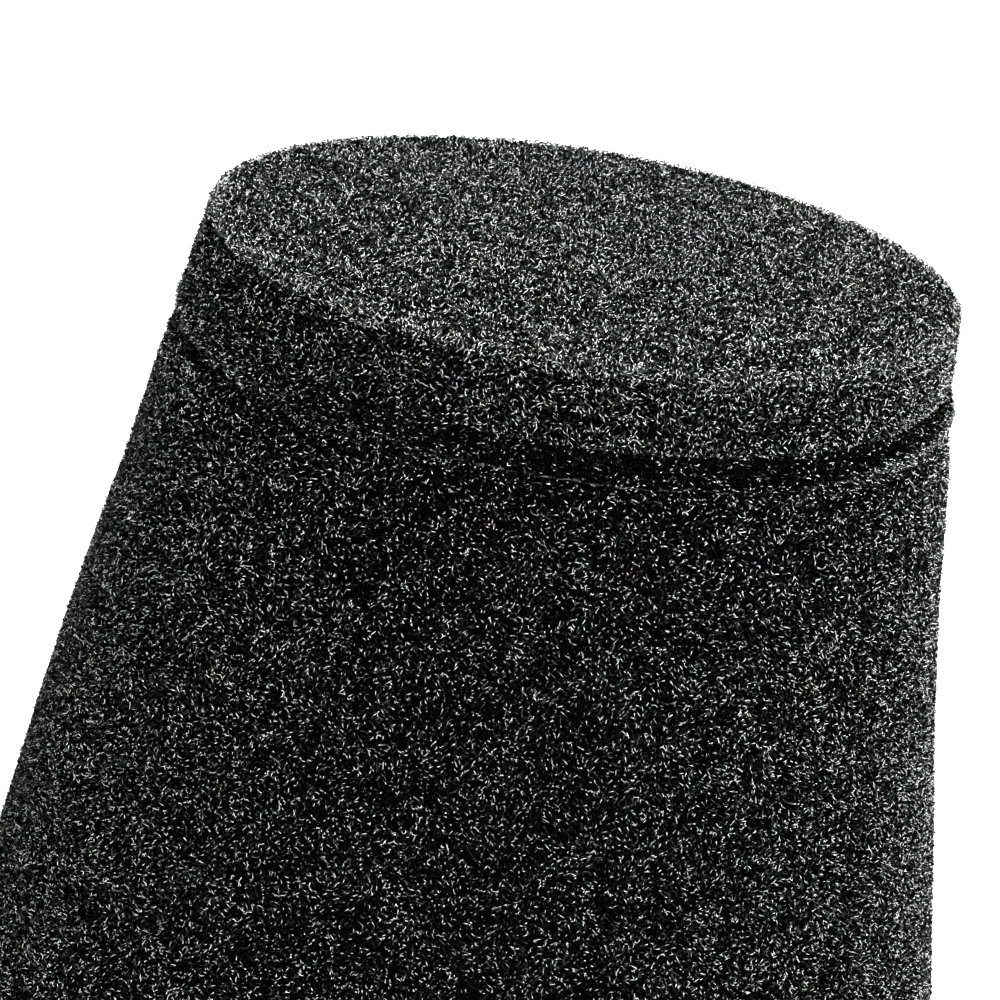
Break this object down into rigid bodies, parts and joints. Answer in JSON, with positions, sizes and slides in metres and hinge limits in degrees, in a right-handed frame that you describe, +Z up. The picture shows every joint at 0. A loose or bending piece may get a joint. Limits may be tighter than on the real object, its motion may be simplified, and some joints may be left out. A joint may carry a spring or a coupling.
{
  "type": "pond sponge filter",
  "caption": "Conical black foam sponge filter with a flat closed top, over a slotted cage on a weighted round base with a swivelling side outlet for a hose.",
  "frame": {"origin": "middle of the underside of the base mat, on the floor", "axes": "+Z up the cone's axis, +X towards the hose outlet, -Y towards the viewer"},
  "size_m": [0.298, 0.228, 0.2484],
  "materials": {
    "filter_foam": "matte",
    "cured_adhesive": "satin",
    "cage_plastic": "satin",
    "base_plastic": "matte",
    "fitting_plastic": "satin",
    "seal_rubber": "satin",
    "mat_rubber": "matte",
    "stainless": "satin",
    "ballast_iron": "matte"
  },
  "bodies": {
    "base": {"base_tray": "base_plastic", "bayonet_socket": "base_plastic", "duct_entry": "fitting_plastic", "duct_pipe": "fitting_plastic", "outlet_socket": "fitting_plastic", "bottom_plate": "base_plastic", "bottom_gasket": "seal_rubber", "ballast_weights": "ballast_iron", "bottom_screws": "stainless", "base_mat": "mat_rubber", "draw_tube": "cage_plastic", "tube_grommet": "seal_rubber"},
    "cage": {"cage_foot": "cage_plastic", "cage_panels": "cage_plastic", "cage_crown": "cage_plastic", "cage_cap": "cage_plastic", "cap_screws": "stainless", "cage_gasket": "seal_rubber"},
    "foam": {"foam_sleeve": "filter_foam", "foam_end_disc": "filter_foam", "adhesive_bead": "cured_adhesive"},
    "clip": {"elbow_clip": "stainless"},
    "elbow": {"outlet_elbow": "fitting_plastic", "elbow_o_rings": "seal_rubber", "tail_washer": "seal_rubber", "hose_tail": "fitting_plastic"},
    "nut": {"union_nut": "fitting_plastic"}
  },
  "joints": [
    {"name": "cage_twist", "type": "hinge", "parent": "base", "child": "cage", "pos_m": [0, 0, 0.048], "axis": [0, 0, 1], "range_deg": [0, 25]},
    {"name": "foam_lift", "type": "slide", "parent": "cage", "child": "foam", "axis": [0, 0, 1], "range_m": [0, 0.2]},
    {"name": "clip_pull", "type": "slide", "parent": "base", "child": "clip", "axis": [0, 0, 1], "range_m": [0, 0.03]},
    {"name": "elbow_swivel", "type": "hinge", "parent": "base", "child": "elbow", "pos_m": [0.125, 0, 0.022], "axis": [1, 0, 0], "range_deg": [-90, 90]},
    {"name": "nut_spin", "type": "hinge", "parent": "elbow", "child": "nut", "pos_m": [0.164, 0, 0.058], "axis": [0, 0, 1], "continuous": true}
  ]
}
